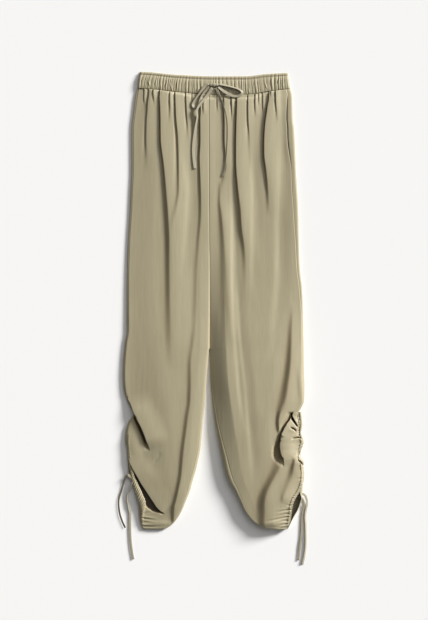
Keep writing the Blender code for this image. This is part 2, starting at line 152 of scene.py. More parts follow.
# Widths of the inner roll, inner slope, outer slope and outer roll: y, widths
RIGHT_WIDTHS = (
    (476, 6, 20, 60, 3), (60, 6, 22, 60, 4), (-111, 5, 20, 90, 6), (-200, 4, 22, 100, 7),
    (-300, 4, 24, 110, 8), (-400, 4, 24, 100, 5), (-460, 4, 22, 84, 4), (-514, 4, 14, 30, 4),
)
LEFT_WIDTHS = (
    (476, 6, 20, 60, 5), (60, 6, 32, 60, 4), (-20, 6, 35, 60, 4), (-111, 5, 38, 66, 4),
    (-200, 5, 40, 76, 4), (-258, 6, 41, 84, 4), (-300, 8, 40, 90, 4), (-350, 8, 38, 90, 4),
    (-400, 7, 34, 90, 4), (-460, 7, 26, 70, 4), (-514, 5, 18, 30, 4),
)

# Folds: a steep face that looks left, then an easy fall to the right over the run. Each has its
# name, run and rows of y, x, rise and width of the face. A fold that falls instead only catches
# light. The inner fold runs on across the centre seam, so both legs have it.
INNER_FOLD = ("inner", 46, (
    (464, -29, 3, 3), (453, -28, 3.6, 3), (430, -28, 4, 3.5), (406, -29, 4.2, 3.5), (361, -29, 4, 4),
    (318, -31.5, 3.6, 5), (249, -31, 3, 8), (192, -32, 2.5, 11), (136, -37, 1.9, 12),
    (69, -42, 1.5, 13), (1, -44, 1.3, 13), (-66, -47, 0.6, 13), (-110, -51, 0, 13)))
RIGHT_FOLDS = (
    INNER_FOLD,
    ("side tick", 8, ((469, -156, 1.4, 3), (453, -156.5, 1.4, 3), (436, -157, 0, 3))),
    ("side", 30, (
        (471, -146, 1.4, 3), (462, -145.5, 2, 3), (453, -146, 2.4, 3), (440, -148, 2.5, 3),
        (424, -149, 2.3, 3.5), (406, -151, 2, 4), (361, -152.5, 1.5, 5), (321, -153, 0.7, 8),
        (290, -154, 0, 9))),
    ("short tick", 9, (
        (472, -135, 2, 3), (462, -135, 2.2, 3), (453, -134.5, 1.2, 3), (436, -134, 0, 3))),
    ("thigh", 60, (
        (472, -120, 2.4, 3), (462, -120, 3.4, 3), (453, -120.5, 3.8, 3.5), (440, -120, 4, 4),
        (406, -118.5, 4.3, 4), (361, -118, 4.5, 4.5), (305, -112.5, 4.7, 6.5), (249, -109, 5, 9),
        (181, -105.5, 5.2, 13), (136, -104.5, 4.8, 16), (69, -105, 4, 18), (1, -105, 3.4, 19),
        (-66, -104, 2.4, 20), (-111, -103, 1.2, 20), (-152, -101, 0, 20))),
    ("hip tick", 9, ((472, -98, 1.4, 3), (453, -97.5, 1.8, 3), (430, -97.5, 1, 4), (400, -98, 0, 4))),
    ("hip", 38, (
        (470, -86, 2.4, 3), (453, -85.5, 2.9, 3), (430, -85, 3, 3.5), (406, -84, 2.9, 4.5),
        (361, -81, 2.6, 6), (305, -80, 2.4, 7), (249, -80.5, 2.2, 9), (215, -85, 1.6, 11),
        (185, -92, 0.9, 12), (150, -100, 0, 12))),
    ("front tick", 22, (
        (466, -62, 1.8, 3), (453, -61.5, 2.4, 3), (440, -61, 2.4, 3), (420, -60.5, 2, 3.5),
        (400, -59.5, 1.2, 4), (360, -58, 0, 6))),
    ("front rise", 14, (
        (462, -48, 1.2, 3), (440, -47.5, 1.4, 3), (406, -47.5, 1, 4), (339, -45, 0.8, 7),
        (260, -44, 0, 10))),
    ("front shine", 20, (
        (339, -69, 0, 12), (300, -66, -0.6, 12), (249, -60, -0.9, 12), (159, -66, -0.9, 12),
        (91, -71, -0.5, 14), (40, -74, 0, 14))),
    ("inner shin", 80, (
        (-40, -45, 0, 13), (-66, -47, 0.6, 13), (-100, -51, 1.5, 13), (-145, -56, 2, 13),
        (-179, -56, 2.5, 14), (-224, -57, 2.9, 14), (-258, -62, 3.1, 14), (-291, -66, 3.3, 14),
        (-325, -70.5, 3.4, 14), (-359, -74, 3.5, 14), (-393, -77, 3.5, 13), (-426, -83, 3.5, 12),
        (-449, -88, 3.5, 12), (-464, -92, 3.5, 12), (-489, -93, 3, 11), (-508, -92, 0, 10))),
    ("seam tick", 8, ((464, -21, 1.2, 3), (440, -21, 1.2, 3), (418, -21, 0, 4))),
)
LEFT_FOLDS = (
    INNER_FOLD,
    ("seam tick", 9, ((466, 8, 1.2, 3), (445, 8, 0.9, 3), (425, 8, 0, 4))),
    ("inner hip", 26, (
        (462, 23, 2.2, 3), (450, 24, 3, 3), (424, 24.5, 3.4, 3), (400, 25, 3.2, 3.5),
        (361, 24.5, 3, 4), (305, 27, 2.4, 6), (276, 20, 1.4, 9), (240, 12, 0, 9))),
    ("inner thigh", 26, (
        (262, 12, 0.6, 8), (219, 11, 2, 10), (199, 13, 2.6, 12), (170, 15, 3, 15), (136, 17, 3, 17),
        (91, 19, 2.9, 20), (1, 22, 2.4, 24), (-40, 24, 1.6, 25), (-100, 28, 0, 26))),
    ("front tick", 10, (
        (468, 40, 2.4, 3), (453, 41, 2.6, 3), (440, 41, 1.8, 3), (424, 41, 1, 3), (400, 41, 0, 4))),
    ("front", 42, (
        (464, 53, 3, 3), (453, 53.6, 4.2, 3), (440, 53.5, 4.6, 3), (424, 53.2, 4.8, 3.5),
        (406, 52.8, 4.9, 3.5), (361, 51.5, 4.9, 4), (305, 51, 4.8, 5), (249, 54, 4.8, 6.5),
        (226, 55.5, 4.7, 8), (192, 58, 4.4, 10), (159, 60, 4, 11), (125, 64, 3.1, 13),
        (87, 66, 1.8, 14), (35, 66, 0.6, 15), (-10, 66, 0, 16))),
    ("middle", 34, (
        (471, 77.5, 1.8, 3), (453, 77.5, 2.3, 3), (424, 77.7, 2.4, 3), (402, 78, 2.1, 3.5),
        (384, 78.5, 1.5, 5), (361, 79, 1, 7), (320, 80, 0.5, 9), (285, 80, 0, 10))),
    ("middle tick", 9, (
        (470, 93.5, 1.5, 3), (453, 93.5, 1.7, 3), (435, 93.5, 1.1, 3), (412, 94, 0, 4))),
    ("late tick", 6, ((472, 101.5, 1.3, 3), (453, 101.5, 1, 3), (440, 101.5, 0, 3))),
    ("side tick", 6, ((470, 110, 1.3, 3), (440, 110.5, 1.2, 3), (420, 110.5, 0, 3))),
    ("side", 44, (
        (470, 125, 2.6, 3), (453, 125, 3.8, 3), (440, 123, 4.4, 3), (424, 121, 4.9, 3.5),
        (406, 118.3, 5, 3.5), (361, 114.8, 4.9, 4), (327, 114, 4.7, 5), (294, 117, 4.3, 6.5),
        (260, 119, 3.2, 8), (226, 119.5, 1.7, 11), (190, 121, 0, 12))),
    ("hip tick", 6, ((473, 129.5, 1.5, 3), (456, 130, 0, 3))),
    ("pocket tick", 10, (
        (473, 140.5, 2.4, 3), (453, 141, 2.4, 3), (440, 141, 1.8, 3), (424, 141.5, 1, 3.5),
        (400, 142, 0, 5))),
    ("thigh shine", 22, (
        (361, 82, 0, 12), (300, 83, -0.6, 12), (249, 84, -0.9, 12), (159, 84, -0.9, 12),
        (69, 84, -0.7, 12), (1, 84, 0, 14))),
    ("side shine", 30, (
        (370, 147, 0, 14), (300, 144, -1, 16), (249, 142, -1.6, 18), (159, 140, -1.8, 18),
        (69, 140, -1.8, 18), (-21, 133, -1.6, 20), (-90, 127, -0.9, 22), (-140, 122, 0, 22))),
    ("inner shine", 18, (
        (300, 39, 0, 10), (249, 39, -0.9, 10), (159, 40, -1.3, 10), (69, 40, -1.3, 10),
        (-21, 42, -1.2, 12), (-111, 47, -1.2, 12), (-201, 54, -1.2, 12), (-260, 62, -0.6, 12),
        (-300, 70, 0, 12))),
    ("shin shine", 20, (
        (50, 50, 0, 10), (-21, 53, -0.9, 10), (-111, 60, -1.2, 10), (-201, 69, -1.3, 12),
        (-291, 76, -1.3, 12), (-348, 80, -1, 14), (-420, 84, 0, 14))),
    ("knee", 70, (
        (-20, 173, 0.5, 10), (-39, 172, 1.6, 12), (-70, 170, 3.2, 15), (-111, 168, 5.2, 19),
        (-138, 166, 6.6, 22), (-168, 162.5, 7.6, 24), (-190, 159, 8.2, 26), (-208, 156, 8.4, 27),
        (-224, 152.5, 8, 27), (-240, 148, 6.8, 23), (-256, 144, 5.4, 15), (-272, 142.5, 4.4, 11),
        (-288, 144, 3.8, 10), (-304, 147, 3, 12), (-320, 150, 1.4, 14), (-334, 151, 0, 14))),
    ("rope", 104, (
        (-320, 150, 0, 26), (-334, 149, 1.8, 28), (-345, 147.5, 4, 29), (-358, 144, 6.4, 30),
        (-370, 140, 7, 30), (-383, 134.5, 7.2, 29), (-398, 127, 7.2, 27), (-413, 119, 7.2, 26),
        (-428, 112, 7.2, 26), (-443, 107.5, 7.2, 26), (-460, 105.5, 6.6, 26), (-489, 105.5, 4.8, 24),
        (-507, 106, 3.4, 21), (-520, 107, 2, 17))),
    ("panel", 24, (
        (-347, 180, 0, 8), (-357, 180, 3, 10), (-372, 177, 4, 13), (-390, 171, 3.6, 17),
        (-408, 164, 2.8, 18), (-428, 156, 1.9, 14), (-440, 153, 1.8, 10), (-455, 151, 0, 10))),
)

# Bulges: name, x, y, half length, half width, angle of the long axis, height
RIGHT_PUFFS = (
    ("lobe", -178, -330, 56, 22, 100, 1.6),
    ("under the lobe", -148, -386, 54, 28, 128, 1.0),
    ("hem", -122, -500, 40, 9, -4, 1.0),
)
LEFT_PUFFS = (
    ("knee side", 196, -190, 60, 9, 92, 1.4),
    ("upper", 170, -328, 42, 28, 80, 2.6),
    ("side", 188, -376, 40, 22, 90, 1.6),
    ("middle", 164, -432, 46, 28, 70, 1.6),
    ("hem", 140, -500, 40, 9, 4, 1.6),
)
# Slits where the higher cloth's edge lies over lower cloth. Each runs along that edge, with the
# higher cloth to the left of its direction: name, route, opening width along the way, faces on the
# high and the low side, depth, the high side's rise, reach and overhang, and how soon it opens and
# closes
RIGHT_SLITS = (
    ("upper", ((-195.5, -217), (-186, -235), (-181, -249), (-175.8, -262), (-170.5, -272),
               (-163.5, -284.5), (-155, -305), (-149, -323), (-144.6, -339)),
     ((0, 0), (0.3, 1), (0.4, 5.5), (0.6, 7.5), (0.8, 7), (1, 3)),
     (2.5, 7), 0.97, (5.0, 50, 5.0), (0.03, 0.22)),
    ("lower", ((-194, -350), (-187.5, -368), (-180.8, -381), (-170, -399), (-161, -414.5),
               (-150, -431), (-141, -445), (-133, -457), (-125, -468), (-111, -480)),
     ((0, 10), (0.3, 13), (0.5, 16), (0.65, 18), (0.76, 19), (0.84, 15), (0.92, 6), (1, 0.5)),
     (2.5, 4), 1.0, (1.6, 40, 5.0), (0.03, 0.08)),
    ("soft", ((-119, -338), (-122, -346), (-131, -358), (-136, -368)),
     ((0, 0.3), (1, 0.3)), (8, 9), 0.05, (0, 10, 0), (0.3, 0.3)),
)
LEFT_SLITS = (
    ("notch", ((177.5, -250), (174.5, -261), (169.5, -270), (161.5, -281), (155, -294), (150.5, -306),
               (148.6, -320), (149, -334), (152.5, -346), (157, -357), (157.5, -375)),
     ((0, 2), (0.12, 3), (0.25, 2), (0.4, 0.5), (0.52, 2), (0.6, 6.5), (0.68, 10.5), (0.76, 13.5),
      (0.84, 13), (0.92, 9), (1, 2)),
     (3.5, 12), 0.6, (3.9, 44, 5.0), (0.06, 0.26)),
    ("notch limb", ((177.5, -250), (181.5, -262), (186, -276), (189, -284)),
     ((0, 2), (0.3, 5), (0.7, 3), (1, 0.5)), (2.0, 2.5), 1.0, (0.6, 10, 2.4), (0.06, 0.2)),
    ("crease", ((206, -316), (198, -310), (188, -308.5), (174, -311)),
     ((0, 2.0), (0.5, 1.2), (1, 0.4)), (1.6, 2.4), 0.6, (1.0, 12, 1.6), (0.05, 0.3)),
    ("small crease", ((185, -294), (179, -289), (173, -286)),
     ((0, 0.6), (0.5, 1.2), (1, 0.4)), (1.6, 2.2), 0.5, (0.8, 8, 1.0), (0.2, 0.3)),
    ("second crease", ((202, -376), (197, -366), (190, -357)),
     ((0, 2.0), (0.5, 1.4), (1, 0.4)), (1.6, 2.4), 0.55, (0.8, 12, 1.2), (0.05, 0.3)),
)
# Creases of the gathers that run in from the ruched side seam: x, y, length, angle, depth
RIGHT_GATHERS = (
    (-168, -446, 12, 18, 0.8), (-165, -457, 22, 30, 1.1), (-163, -469, 18, 12, 0.9),
    (-161, -480, 30, 14, 1), (-160, -489, 40, -10, 2.2), (-158, -499, 22, 8, 0.9),
    (-159, -507.5, 46, -2, 2),
)
LEFT_GATHERS = (
    (193, -266, 14, 190, 1), (194, -282, 12, 184, 1), (198, -328, 14, 176, 1),
    (202, -386, 14, 200, 0.9), (201, -398, 20, 188, 1), (198, -414, 12, 196, 0.9),
    (180, -444, 12, 180, 1), (173, -459, 16, 176, 1.2), (169.5, -469, 34, 190, 2.4),
    (168, -479, 14, 178, 1), (166, -485, 58, 192, 2.2), (164, -494, 20, 176, 1),
    (163, -501, 30, 190, 1.9), (160, -509.5, 34, 178, 1.4),
)

# Waistband: x, y along its lower seam and its top edge
WAIST_SEAM = (
    (-176, 477), (-132, 474), (-98, 470), (-42, 465), (0, 462.5), (80, 463), (127, 470), (176, 476),
)
BAND_TOP_LINE = ((-176, 513), (-163, 514), (-80, 507), (0, 504), (70, 504), (120, 509), (176, 512))
# x of the band's right and left end, each at the top edge, halfway down and at the seam
BAND_ENDS = ((-166, -170, -171), (167, 169, 172))
# About how wide and how high the band is
BAND_WIDTH = 340
BAND_HEIGHT = 40
GATHERS = 52
# Height of the band's face between gathers, and how finely the face is divided
BAND_TOP = 6.3
BAND_ROWS = 24
BAND_COLUMNS = 560
# Down the band from its top edge: share of the way, height above BAND_TOP, and depth of gathers
BAND_SECTIONS = (
    (0, -1.6, 0.3), (0.05, -0.3, 0.4), (0.12, -0.1, 0.4), (0.17, -1.2, 0.3), (0.24, -0.2, 0.7),
    (0.45, 0.5, 1), (0.75, 0.5, 1), (0.9, 0.2, 0.8), (1, -0.5, 0.5),
)

# Pocket mouth in the left side seam: y, and how far it gapes there
POCKET = ((458, 0), (445, 1.8), (410, 3.0), (350, 2.8), (312, 1.6), (292, 0))
# The facing's height, and how far inward and outward of the seam it reaches
FACING_Z = 2.0
FACING_SPAN = (-8, 1)

# Ruched channels down the side seams: x, y, height and width
RIGHT_CHANNEL = (
    (-190, -300, 2.4, 4), (-190.5, -330, 2.6, 4), (-189, -356, 4, 5), (-187.4, -372, 6, 7),
    (-183.8, -386, 7.4, 9), (-179.4, -404, 8.6, 11), (-173, -420, 9.4, 13), (-166.4, -437, 9.8, 15),
    (-161.5, -452, 9.4, 17), (-159.5, -466, 8, 13), (-160, -482, 6, 7), (-160, -500, 4.4, 4),
)
LEFT_CHANNEL = (
    (193, -250, 12.4, 6), (195.5, -277, 12.6, 7), (193.5, -298, 12.8, 6), (198.5, -317, 12.8, 7),
    (193.5, -336, 13, 6), (192.5, -350, 13.2, 5), (197, -366, 13, 6), (199.5, -384, 12.8, 7),
    (198.5, -404, 12.4, 7), (191.5, -424, 12, 7), (180.5, -442, 11.4, 7), (174, -458, 10.6, 7),
    (172, -474, 9.6, 6), (169.5, -492, 8.6, 6), (167, -506, 7, 5),
)
# Length of one of their pleats
RUCHE = 5.4

# Width of a slub and spacing of the weave's rib as drawn, and widths of the cloth's crumples and of
# the patches that handling leaves
SLUB = 3.0
RIB = 3.4
CRUMPLE = 11.1
HANDLED = 71.4

# Stitch length and thread, drawn at twice its real 0.25 mm so that it shows
STITCH = 3.2
THREAD = 0.5
# How far down the band its rows of stitches lie, as a share, how far above the hem the legs' do, and
# how far from the side seam and the inside leg these end
BAND_STITCHES = (("header_stitches", 0.17), ("waist_stitches", 0.965))
HEM_STITCHES = 10.0
HEM_ENDS = (12, 3)

# Drawstrings: flat satin ribbons
RIBBON = (6.4, 0.9)
ANKLE_RIBBON = (5.0, 0.8)
# The knot's middle, and its length, half height and half depth
KNOT_AT = (0.5, 484, 9.4)
KNOT_SIZE = (24, 4.6, 3.0)
# Each cord: name, width and thickness, route, roll in degrees by share of the way, what it ends in
CORDS = (
    ("waist_loop_right", RIBBON,
     ((-11.8, 486, 10.1), (-20, 480, 10), (-31, 465, 10), (-41, 451, 10), (-47, 439, 10),
      (-41, 433, 10), (-33, 441, 10), (-28, 456, 10), (-20, 469, 10), (-10.2, 479.6, 10.1)),
     ((0, 20), (0.35, 48), (0.5, 20), (0.65, -40), (1, -62)), "object"),
    ("waist_loop_left", RIBBON,
     ((12.2, 486, 10.1), (26, 483, 10), (42, 479, 10), (57, 474, 10), (64, 467, 10),
      (57, 460, 10), (44, 459, 10), (30, 465, 10), (18, 473, 10), (10.6, 479.7, 10.1)),
     ((0, 40), (0.3, 58), (0.5, 35), (0.62, -8), (0.8, -12), (1, -25)), "object"),
    ("waist_tail_right", RIBBON,
     ((-3.5, 477, 10), (-16, 458, 9.4), (-36, 431, 14.2), (-37, 410, 11), (-42, 380, 8.6),
      (-46, 345, 8.2), (-45, 318, 8.2), (-42, 296, 8.2)),
     ((0, 10), (0.2, 30), (0.4, 55), (0.6, 15), (1, 12)), "bare"),
    ("waist_tail_left", RIBBON,
     ((5.5, 477.4, 10), (13, 457, 9.4), (21, 435, 9), (28, 405, 8.8), (29, 365, 8.8),
      (26, 320, 8.8), (20, 279, 8.6)),
     ((0, 0), (0.2, -30), (0.5, -34), (0.9, -26), (1, -10)), "bare"),
    ("ankle_cord_right_short", ANKLE_RIBBON,
     ((-186, -398, 9.4), (-194, -392, 8.2), (-201, -405, 3.6), (-208, -428, 1.9),
      (-214, -450, 1.9), (-212, -476, 1.9), (-206, -496, 1.9), (-199, -511, 1.9)),
     ((0, 0), (0.12, -22), (0.4, -27), (1, -27)), "bare"),
    ("ankle_cord_right_long", ANKLE_RIBBON,
     ((-181, -408, 9.4), (-187, -424, 6.4), (-194, -440, 3), (-192, -461, 1.9), (-188, -480, 1.9),
      (-188, -510, 1.9), (-187, -540, 1.9), (-184, -565, 1.9), (-181, -582, 1.9)),
     ((0, 60), (0.3, 56), (0.42, 20), (0.6, 6), (1, 0)), "bare"),
    ("ankle_cord_left_short", ANKLE_RIBBON,
     ((190, -440, 9.7), (199, -446, 7.2), (203, -462, 3), (199.5, -484, 1.9), (198.5, -506, 1.9),
      (197, -530, 1.9), (194, -550, 1.9), (190.5, -584, 1.9)),
     ((0, 0), (0.4, 8), (1, 0)), "bare"),
    ("ankle_cord_left_long", ANKLE_RIBBON,
     ((194, -432, 9.7), (205, -438, 7.2), (210, -455, 3), (206, -482, 1.9), (207, -506, 1.9),
      (207.5, -545, 1.9), (205, -570, 1.9), (200, -593, 1.9)),
     ((0, 0), (0.3, 40), (0.7, 50), (1, 30)), "bare"),
)

# Colours
CLOTH_HEX = "#a1977a"
INSIDE_HEX = "#80765e"
# Painted shade: share of the cloth's colour left at a fold's foot, darker and warmer as shade and
# light bounced off the cloth, and down in a slit, darkest as deep shade
FOLD_PAINTED_SHADE = (0.74, 0.60, 0.44, 1)
SLIT_PAINTED_SHADE = (0.17, 0.14, 0.11, 1)
THREAD_HEX = "#857c64"
CORD_HEX = "#968e78"
PAPER_HEX = "#f2f1ef"


# Curves and shapes

def smooth(rows, places):
    """Values at places along a smooth line through (place, value) rows, without overshoot."""
    rows = sorted(rows)
    knots = np.array([row[0] for row in rows], float)
    values = np.array([row[1] for row in rows], float)
    steps = np.diff(knots)
    secants = np.diff(values) / steps
    slopes = np.concatenate([secants[:1], np.zeros(len(values) - 2), secants[-1:]])
    for k in range(1, len(values) - 1):
        before, after = secants[k - 1], secants[k]
        if before * after > 0:
            slopes[k] = 2 * before * after / (before + after)
    at = np.clip(np.asarray(places, float), knots[0], knots[-1])
    k = np.clip(np.searchsorted(knots, at) - 1, 0, len(steps) - 1)
    t = (at - knots[k]) / steps[k]
    rise = values[k + 1] - values[k]
    start, end = slopes[k] * steps[k], slopes[k + 1] * steps[k]
    return (
        values[k]
        + start * t
        + (3 * rise - 2 * start - end) * t**2
        + (start + end - 2 * rise) * t**3
    )


def column(rows, number):
    """The first column of a table paired with another of its columns."""
    return [(row[0], row[number]) for row in rows]


def ramp(t):
    """0 below 0, 1 above 1, and an even S between."""
    t = np.clip(t, 0.0, 1.0)
    return t * t * (3 - 2 * t)


def bell(t):
    """1 at 0, falling to 0 at 1 and -1."""
    return np.where(np.abs(t) < 1, 0.5 + 0.5 * np.cos(np.pi * np.clip(t, -1, 1)), 0.0)


def rounded(t):
    """A quarter round from 0 to 1."""
    t = np.clip(t, 0.0, 1.0)
    return np.sqrt(1 - (1 - t) ** 2)


def eased(t):
    """A rise from 0 to 1 that starts steepest."""
    return 1 - (1 - np.clip(t, 0.0, 1.0)) ** 1.2


def three_way(values, share):
    """A value between three that hold at a line's start, middle and end."""
    return smooth(((0.0, values[0]), (0.5, values[1]), (1.0, values[2])), share)


def unit(vectors):
    return vectors / np.linalg.norm(vectors, axis=1)[:, None]


def distances(points):
    """How far along a line of points each of them is."""
    return np.concatenate([[0], np.cumsum(np.linalg.norm(np.diff(points, axis=0), axis=1))])


def points_at(stops, walked, points):
    """The places at some distances along a line of points."""
    return np.stack([np.interp(stops, walked, values) for values in points.T], axis=1)


def route_points(route, spacing):
    """Evenly spaced points on a smooth line through a route, and its length."""
    points = np.array(route, float)
    ends = np.vstack([2 * points[0] - points[1], points, 2 * points[-1] - points[-2]])
    dense = []
    for k in range(1, len(ends) - 2):
        before, start, end, after = ends[k - 1 : k + 3]
        for t in np.linspace(0, 1, 24, endpoint=False):
            dense.append(0.5 * (
                2 * start + (end - before) * t
                + (2 * before - 5 * start + 4 * end - after) * t**2
                + (3 * start - before - 3 * end + after) * t**3
            ))
    dense = np.array(dense + [points[-1]])
    walked = distances(dense)
    places = np.linspace(0, walked[-1], round(walked[-1] / spacing) + 1)
    return points_at(places, walked, dense), walked[-1]


def near_route(route, x, y):
    """Distance from a route, 1 to its left or -1 to its right, share of the way, and its normal."""
    points = route_points(route, 6)[0]
    lengths = np.hypot(*np.diff(points, axis=0).T)
    total, walked, best = lengths.sum(), 0.0, None
    for start, end, length in zip(points, points[1:], lengths):
        run = (end - start) / length
        right, up = x - start[0], y - start[1]
        along = np.clip(right * run[0] + up * run[1], 0, length)
        away = np.hypot(right - run[0] * along, up - run[1] * along)
        side = np.where(run[0] * up - run[1] * right >= 0, 1.0, -1.0)
        share = (walked + along) / total
        found = np.stack(np.broadcast_arrays(away, side, share, -run[1], run[0]))
        best = found if best is None else np.where(found[0] < best[0], found, best)
        walked += length
    return best


# The cloth's surface

class Leg:
    """One leg's edges and everything that shapes its upper side."""

    def __init__(self, side, edges, wraps, vent, sections, widths, folds, puffs, slits, gathers):
        self.side = side
        self.outward = -1 if side == "right" else 1
        self.outer, self.inner, self.mean = edges
        self.wrap, self.inseam_wrap = wraps
        self.vent = vent
        self.sections, self.widths = sections, widths
        self.folds, self.puffs, self.slits, self.gathers = folds, puffs, slits, gathers

    def outline(self, y):
        return smooth(self.outer, y)

    def seam(self, y):
        return self.outline(y) - self.outward * smooth(self.wrap, y)

    def inner_edge(self, y):
        return np.where(np.asarray(y) > CROTCH_Y, CENTRE_SEAM, smooth(self.inner, y))

    def inseam(self, y):
        inside = self.inner_edge(y) + self.outward * smooth(self.inseam_wrap, y)
        return np.where(np.asarray(y) > CROTCH_Y, CENTRE_SEAM, inside)

    def base(self, x, y):
        """The leg's own roundness, without its folds, and how free its cloth is of its edges."""
        from_inner = self.outward * (x - self.inner_edge(y))
        from_outer = self.outward * (self.outline(y) - x)
        from_mean = self.outward * (smooth(self.mean, y) - x)
        edge, shoulder, crest, far_shoulder, far_edge = (
            smooth(column(self.sections, k), y) for k in range(1, 6)
        )
        roll, slope, far_slope, far_roll = (smooth(column(self.widths, k), y) for k in range(1, 5))
        inner = edge + (shoulder - edge) * rounded(from_inner / roll)
        inner = inner + (crest - shoulder) * eased(from_inner / slope)
        outer = far_edge + (far_shoulder - far_edge) * rounded(from_outer / far_roll)
        outer = outer + (crest - far_shoulder) * ramp(from_mean / far_slope)
        below = ramp((CROTCH_Y + 10 - y) / 40)
        free = rounded(from_outer / 7) * (1 - below + below * rounded(from_inner / 9))
        return inner + outer - crest, free

    def surface(self, x, y):
        """Where the upper side's cloth lies, for places on the flat picture of it, and how much shade
        is painted there.
        """
        z, free = self.base(x, y)
        move_x, move_y, painted_shade = np.zeros(z.shape), np.zeros(z.shape), np.zeros(z.shape)
        for fold in self.folds:
            rise, lean, deep = fold_shape(fold, x, y)
            painted_shade = np.maximum(painted_shade, deep * free)
            z = z + rise * free
            move_x = move_x - lean * free
        z = z + free * sum(puff_height(puff, x, y) for puff in self.puffs)
        z = z + free * waist_gathers(x, y)
        from_seam = self.outward * (self.seam(y) - x)
        z = z + ramp((from_seam + 3) / 6) * sum(gather_height(g, x, y) for g in self.gathers)
        for slit in self.slits:
            z, across, down, deep = slit_shape(slit, x, y, z, free)
            move_x, move_y, painted_shade = move_x + across, move_y + down, np.maximum(painted_shade, deep)
        # The cloth turns down at the hem and at the waist seam
        z = z * (0.85 + 0.15 * rounded((y - HEM_Y) / 5))
        z = z * (1 - 0.25 * (1 - rounded((smooth(WAIST_SEAM, x) - y) / 5)))
        return x + move_x, y + move_y, np.maximum(z, LOW), painted_shade

    def places_across(self, y):
        """Columns from the side seam inward, closer together beside folds and slits."""
        shares = np.linspace(0, 1, 500)[None, :]
        seam, inside = self.seam(y), self.inseam(y)
        x = seam + (inside - seam) * shares
        density = np.ones(x.shape)
        for _, _, rows in self.folds:
            rise, face = np.maximum(smooth(column(rows, 2), y), 0), smooth(column(rows, 3), y)
            density += np.minimum(rise, 1.6) * bell((x - smooth(rows, y)) / (6 + face))
        for _, route, widths, *_ in self.slits:
            reach = max(width for _, width in widths) + 7
            density += 2.6 * bell(near_route(route, x, y + 0 * x)[0] / reach)
        walked = np.cumsum(density, axis=1)
        walked = (walked - walked[:, :1]) / (walked[:, -1:] - walked[:, :1])
        wanted = np.linspace(0, 1, ACROSS + 1)
        return np.array([np.interp(wanted, row, places) for row, places in zip(walked, x)])


def fold_shape(fold, x, y):
    """A fold's height, how far its crest leans over its foot, and how much shade is painted on its
    face and foot.
    """
    _, run, rows = fold
    inside = (y <= rows[0][0] + 6) & (y >= rows[-1][0])
    rise, face = smooth(column(rows, 2), y) * inside, smooth(column(rows, 3), y)
    away = x - smooth(rows, y)
    tight = 1 - ramp((face - 3) / 7)
    climb = ramp(np.clip(away / face + 0.5, 0, 1) ** 1.3)
    crest = climb * (1 - ramp((away - face / 2) / run))
    dip = 0.6 * tight * bell((away + 0.6 * face) / (0.7 * face + 1.0))
    dip = dip + 0.06 * (1 - tight) * bell((away + 0.9 * face) / (1.8 * face))
    lean = (0.4 + 0.35 * tight) * rise * climb * (1 - ramp((away - face / 2) / (6 + 0.5 * run)))
    deep = 0.5 * tight * bell((away + 0.3 * face) / (0.6 * face + 0.8))
    deep = deep + 0.2 * (1 - tight) * bell(away / face)
    return rise * (crest - dip * (rise > 0)), np.maximum(lean, 0), deep * np.clip(rise / 4.5, 0, 1)


def turned(x, y, angle):
    """Places measured along and across a direction in degrees."""
    c, s = math.cos(math.radians(angle)), math.sin(math.radians(angle))
    return x * c + y * s, -x * s + y * c


def puff_height(puff, x, y):
    """A bulge that falls away evenly."""
    _, middle_x, middle_y, half_length, half_width, angle, height = puff
    along, across = turned(x - middle_x, y - middle_y, angle)
    return height * bell(along / half_length) * bell(across / half_width)


def gather_height(gather, x, y):
    """A crease between two ridges that fades along its length."""
    start_x, start_y, length, angle, height = gather
    along, across = turned(x - start_x, y - start_y, angle)
    width = 2.2 + 1.2 * np.clip(along / length, 0, 1)
    fade = ramp((along + 6) / 6) * (1 - ramp(along / length))
    ridges = 0.7 * bell((across - 1.5 * width) / (1.5 * width))
    ridges = ridges + 0.4 * bell((across + 1.4 * width) / (1.4 * width))
    return height * fade * (ridges - 0.8 * bell(across / width))


def slit_shape(slit, x, y, z, free):
    """Cloth drawn down beside a route, with the higher side's edge lying over it."""
    _, route, widths, (near, far), depth, (rise, reach, over), fades = slit
    away, side, share, normal_x, normal_y = near_route(route, x, y)
    ends = ramp(share / fades[0]) * ramp((1 - share) / fades[1])
    above = away * side - max(over - near, 0) * ends
    lifted = ends * ramp(share / 0.3)
    high = ramp(above / near)
    low = 1 - (1 - np.clip((-above - smooth(widths, share)) / far, 0, 1)) ** 2
    z = z + rise * high * (1 - ramp((above - near) / reach)) * lifted * free
    deep = depth * (1 - np.maximum(high, low)) * ends
    lip = over * high * (1 - ramp((above - near) / 18)) * ends
    # The last value is painted shade, darkest where the cloth is drawn down into the slit.
    return z - (z - LOW) * deep, -normal_x * lip, -normal_y * lip, deep * depth


RANDOM = np.random.default_rng(23)
GATHER_EDGES = np.concatenate([[0], np.cumsum(RANDOM.uniform(0.35, 1.8, GATHERS))])
GATHER_EDGES = GATHER_EDGES / GATHER_EDGES[-1]
GATHER_HEIGHTS = RANDOM.uniform(0.2, 1.0, GATHERS + 1)
GATHER_LENGTHS = RANDOM.uniform(6, 24, GATHERS + 1)

# Slanting creases between the gathers: reach up and down as a share of the band, depth, x, share of
# the way down at the middle, and slant
BAND_CREASES = tuple(
    (RANDOM.uniform(0.2, 0.42), RANDOM.uniform(0.5, 1.1), place + RANDOM.uniform(-4, 4),
     RANDOM.uniform(0.4, 0.85), RANDOM.uniform(-0.35, 0.35))
    for place in range(-160, 165, 13)
)


def gather_place(share, down):
    """Which gather a place on the waist is in, and how far across that gather it is."""
    lean = 0.010 * np.sin(7.0 * share + 0.6) + 0.006 * np.sin(29.0 * share)
    place = np.interp(share + lean * (down - 0.5), GATHER_EDGES, np.arange(GATHERS + 1))
    number = np.clip(place.astype(int), 0, GATHERS - 1)
    return number, place - number


